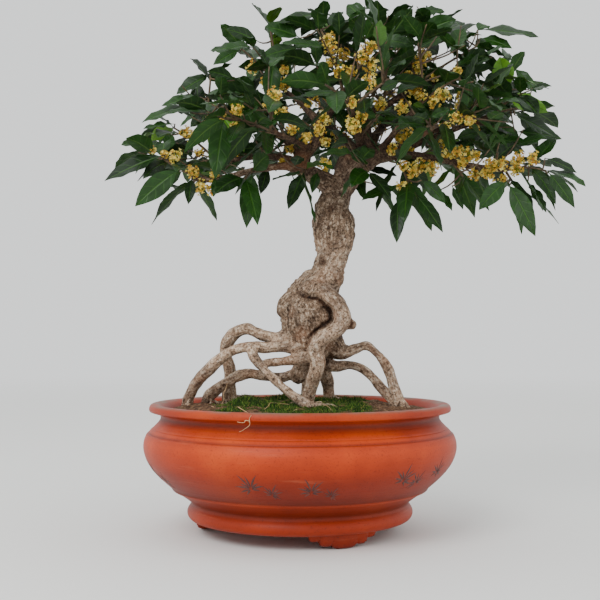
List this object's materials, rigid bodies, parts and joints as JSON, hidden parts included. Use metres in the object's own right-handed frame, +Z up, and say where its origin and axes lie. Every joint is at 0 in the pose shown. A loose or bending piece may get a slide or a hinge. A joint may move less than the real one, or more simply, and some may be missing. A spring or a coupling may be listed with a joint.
{
  "type": "sweet osmanthus bonsai",
  "caption": "Sweet osmanthus tree on arching bare roots in a round footed clay pot, with leathery leaves and bunches of small yellow flowers.",
  "frame": {"origin": "on the surface that the pot stands on, below the middle of the box round the whole plant; the pot's own axis lies 69 mm to the left of it (-X) and 3 mm behind it (+Y)", "axes": "+Z up, the way the tree grows; +X to the right as seen in the picture, the side to which the crown reaches; +Y away from the viewer"},
  "size_m": [0.6828, 0.487, 0.816],
  "materials": {
    "clay": "matte",
    "soil": "matte",
    "bark": "matte",
    "leaf": "satin",
    "flower": "matte"
  },
  "bodies": {
    "root": {"pot": "clay", "soil": "soil", "trunk": "bark", "leaves_left_low": "leaf", "leaves_left_second": "leaf", "leaves_left_high": "leaf", "leaves_left_riser": "leaf", "leaves_left_back": "leaf", "leaves_left_front": "leaf", "leaves_right_low": "leaf", "leaves_right_long": "leaf", "leaves_riser": "leaf", "leaves_riser_top": "leaf", "leaves_right_thin": "leaf", "leaves_back_right_high": "leaf", "leaves_back_right": "leaf", "leaves_back_left": "leaf", "leaves_front": "leaf", "leaves_front_right": "leaf", "leaves_low_left": "leaf", "leaves_low_right": "leaf", "leaves_low_middle": "leaf", "leaves_crotch": "leaf", "leaves_long_middle": "leaf", "leaves_back_low_right": "leaf", "leaves_back_low": "leaf", "leaves_back_low_left": "leaf", "leaves_left_limb": "leaf", "leaves_riser_back": "leaf", "leaves_left_middle": "leaf", "leaves_right_middle": "leaf", "leaves_high_middle": "leaf", "flowers_01": "flower", "flowers_02": "flower", "flowers_03": "flower", "flowers_04": "flower", "flowers_05": "flower", "flowers_06": "flower", "flowers_07": "flower", "flowers_08": "flower", "flowers_09": "flower", "flowers_10": "flower", "flowers_11": "flower", "flowers_12": "flower", "flowers_13": "flower", "flowers_14": "flower", "flowers_15": "flower", "flowers_16": "flower", "flowers_17": "flower", "flowers_18": "flower", "flowers_19": "flower", "flowers_20": "flower", "flowers_21": "flower", "flowers_22": "flower", "flowers_23": "flower", "flowers_24": "flower", "flowers_25": "flower", "flowers_26": "flower", "flowers_27": "flower", "flowers_28": "flower"}
  },
  "joints": []
}
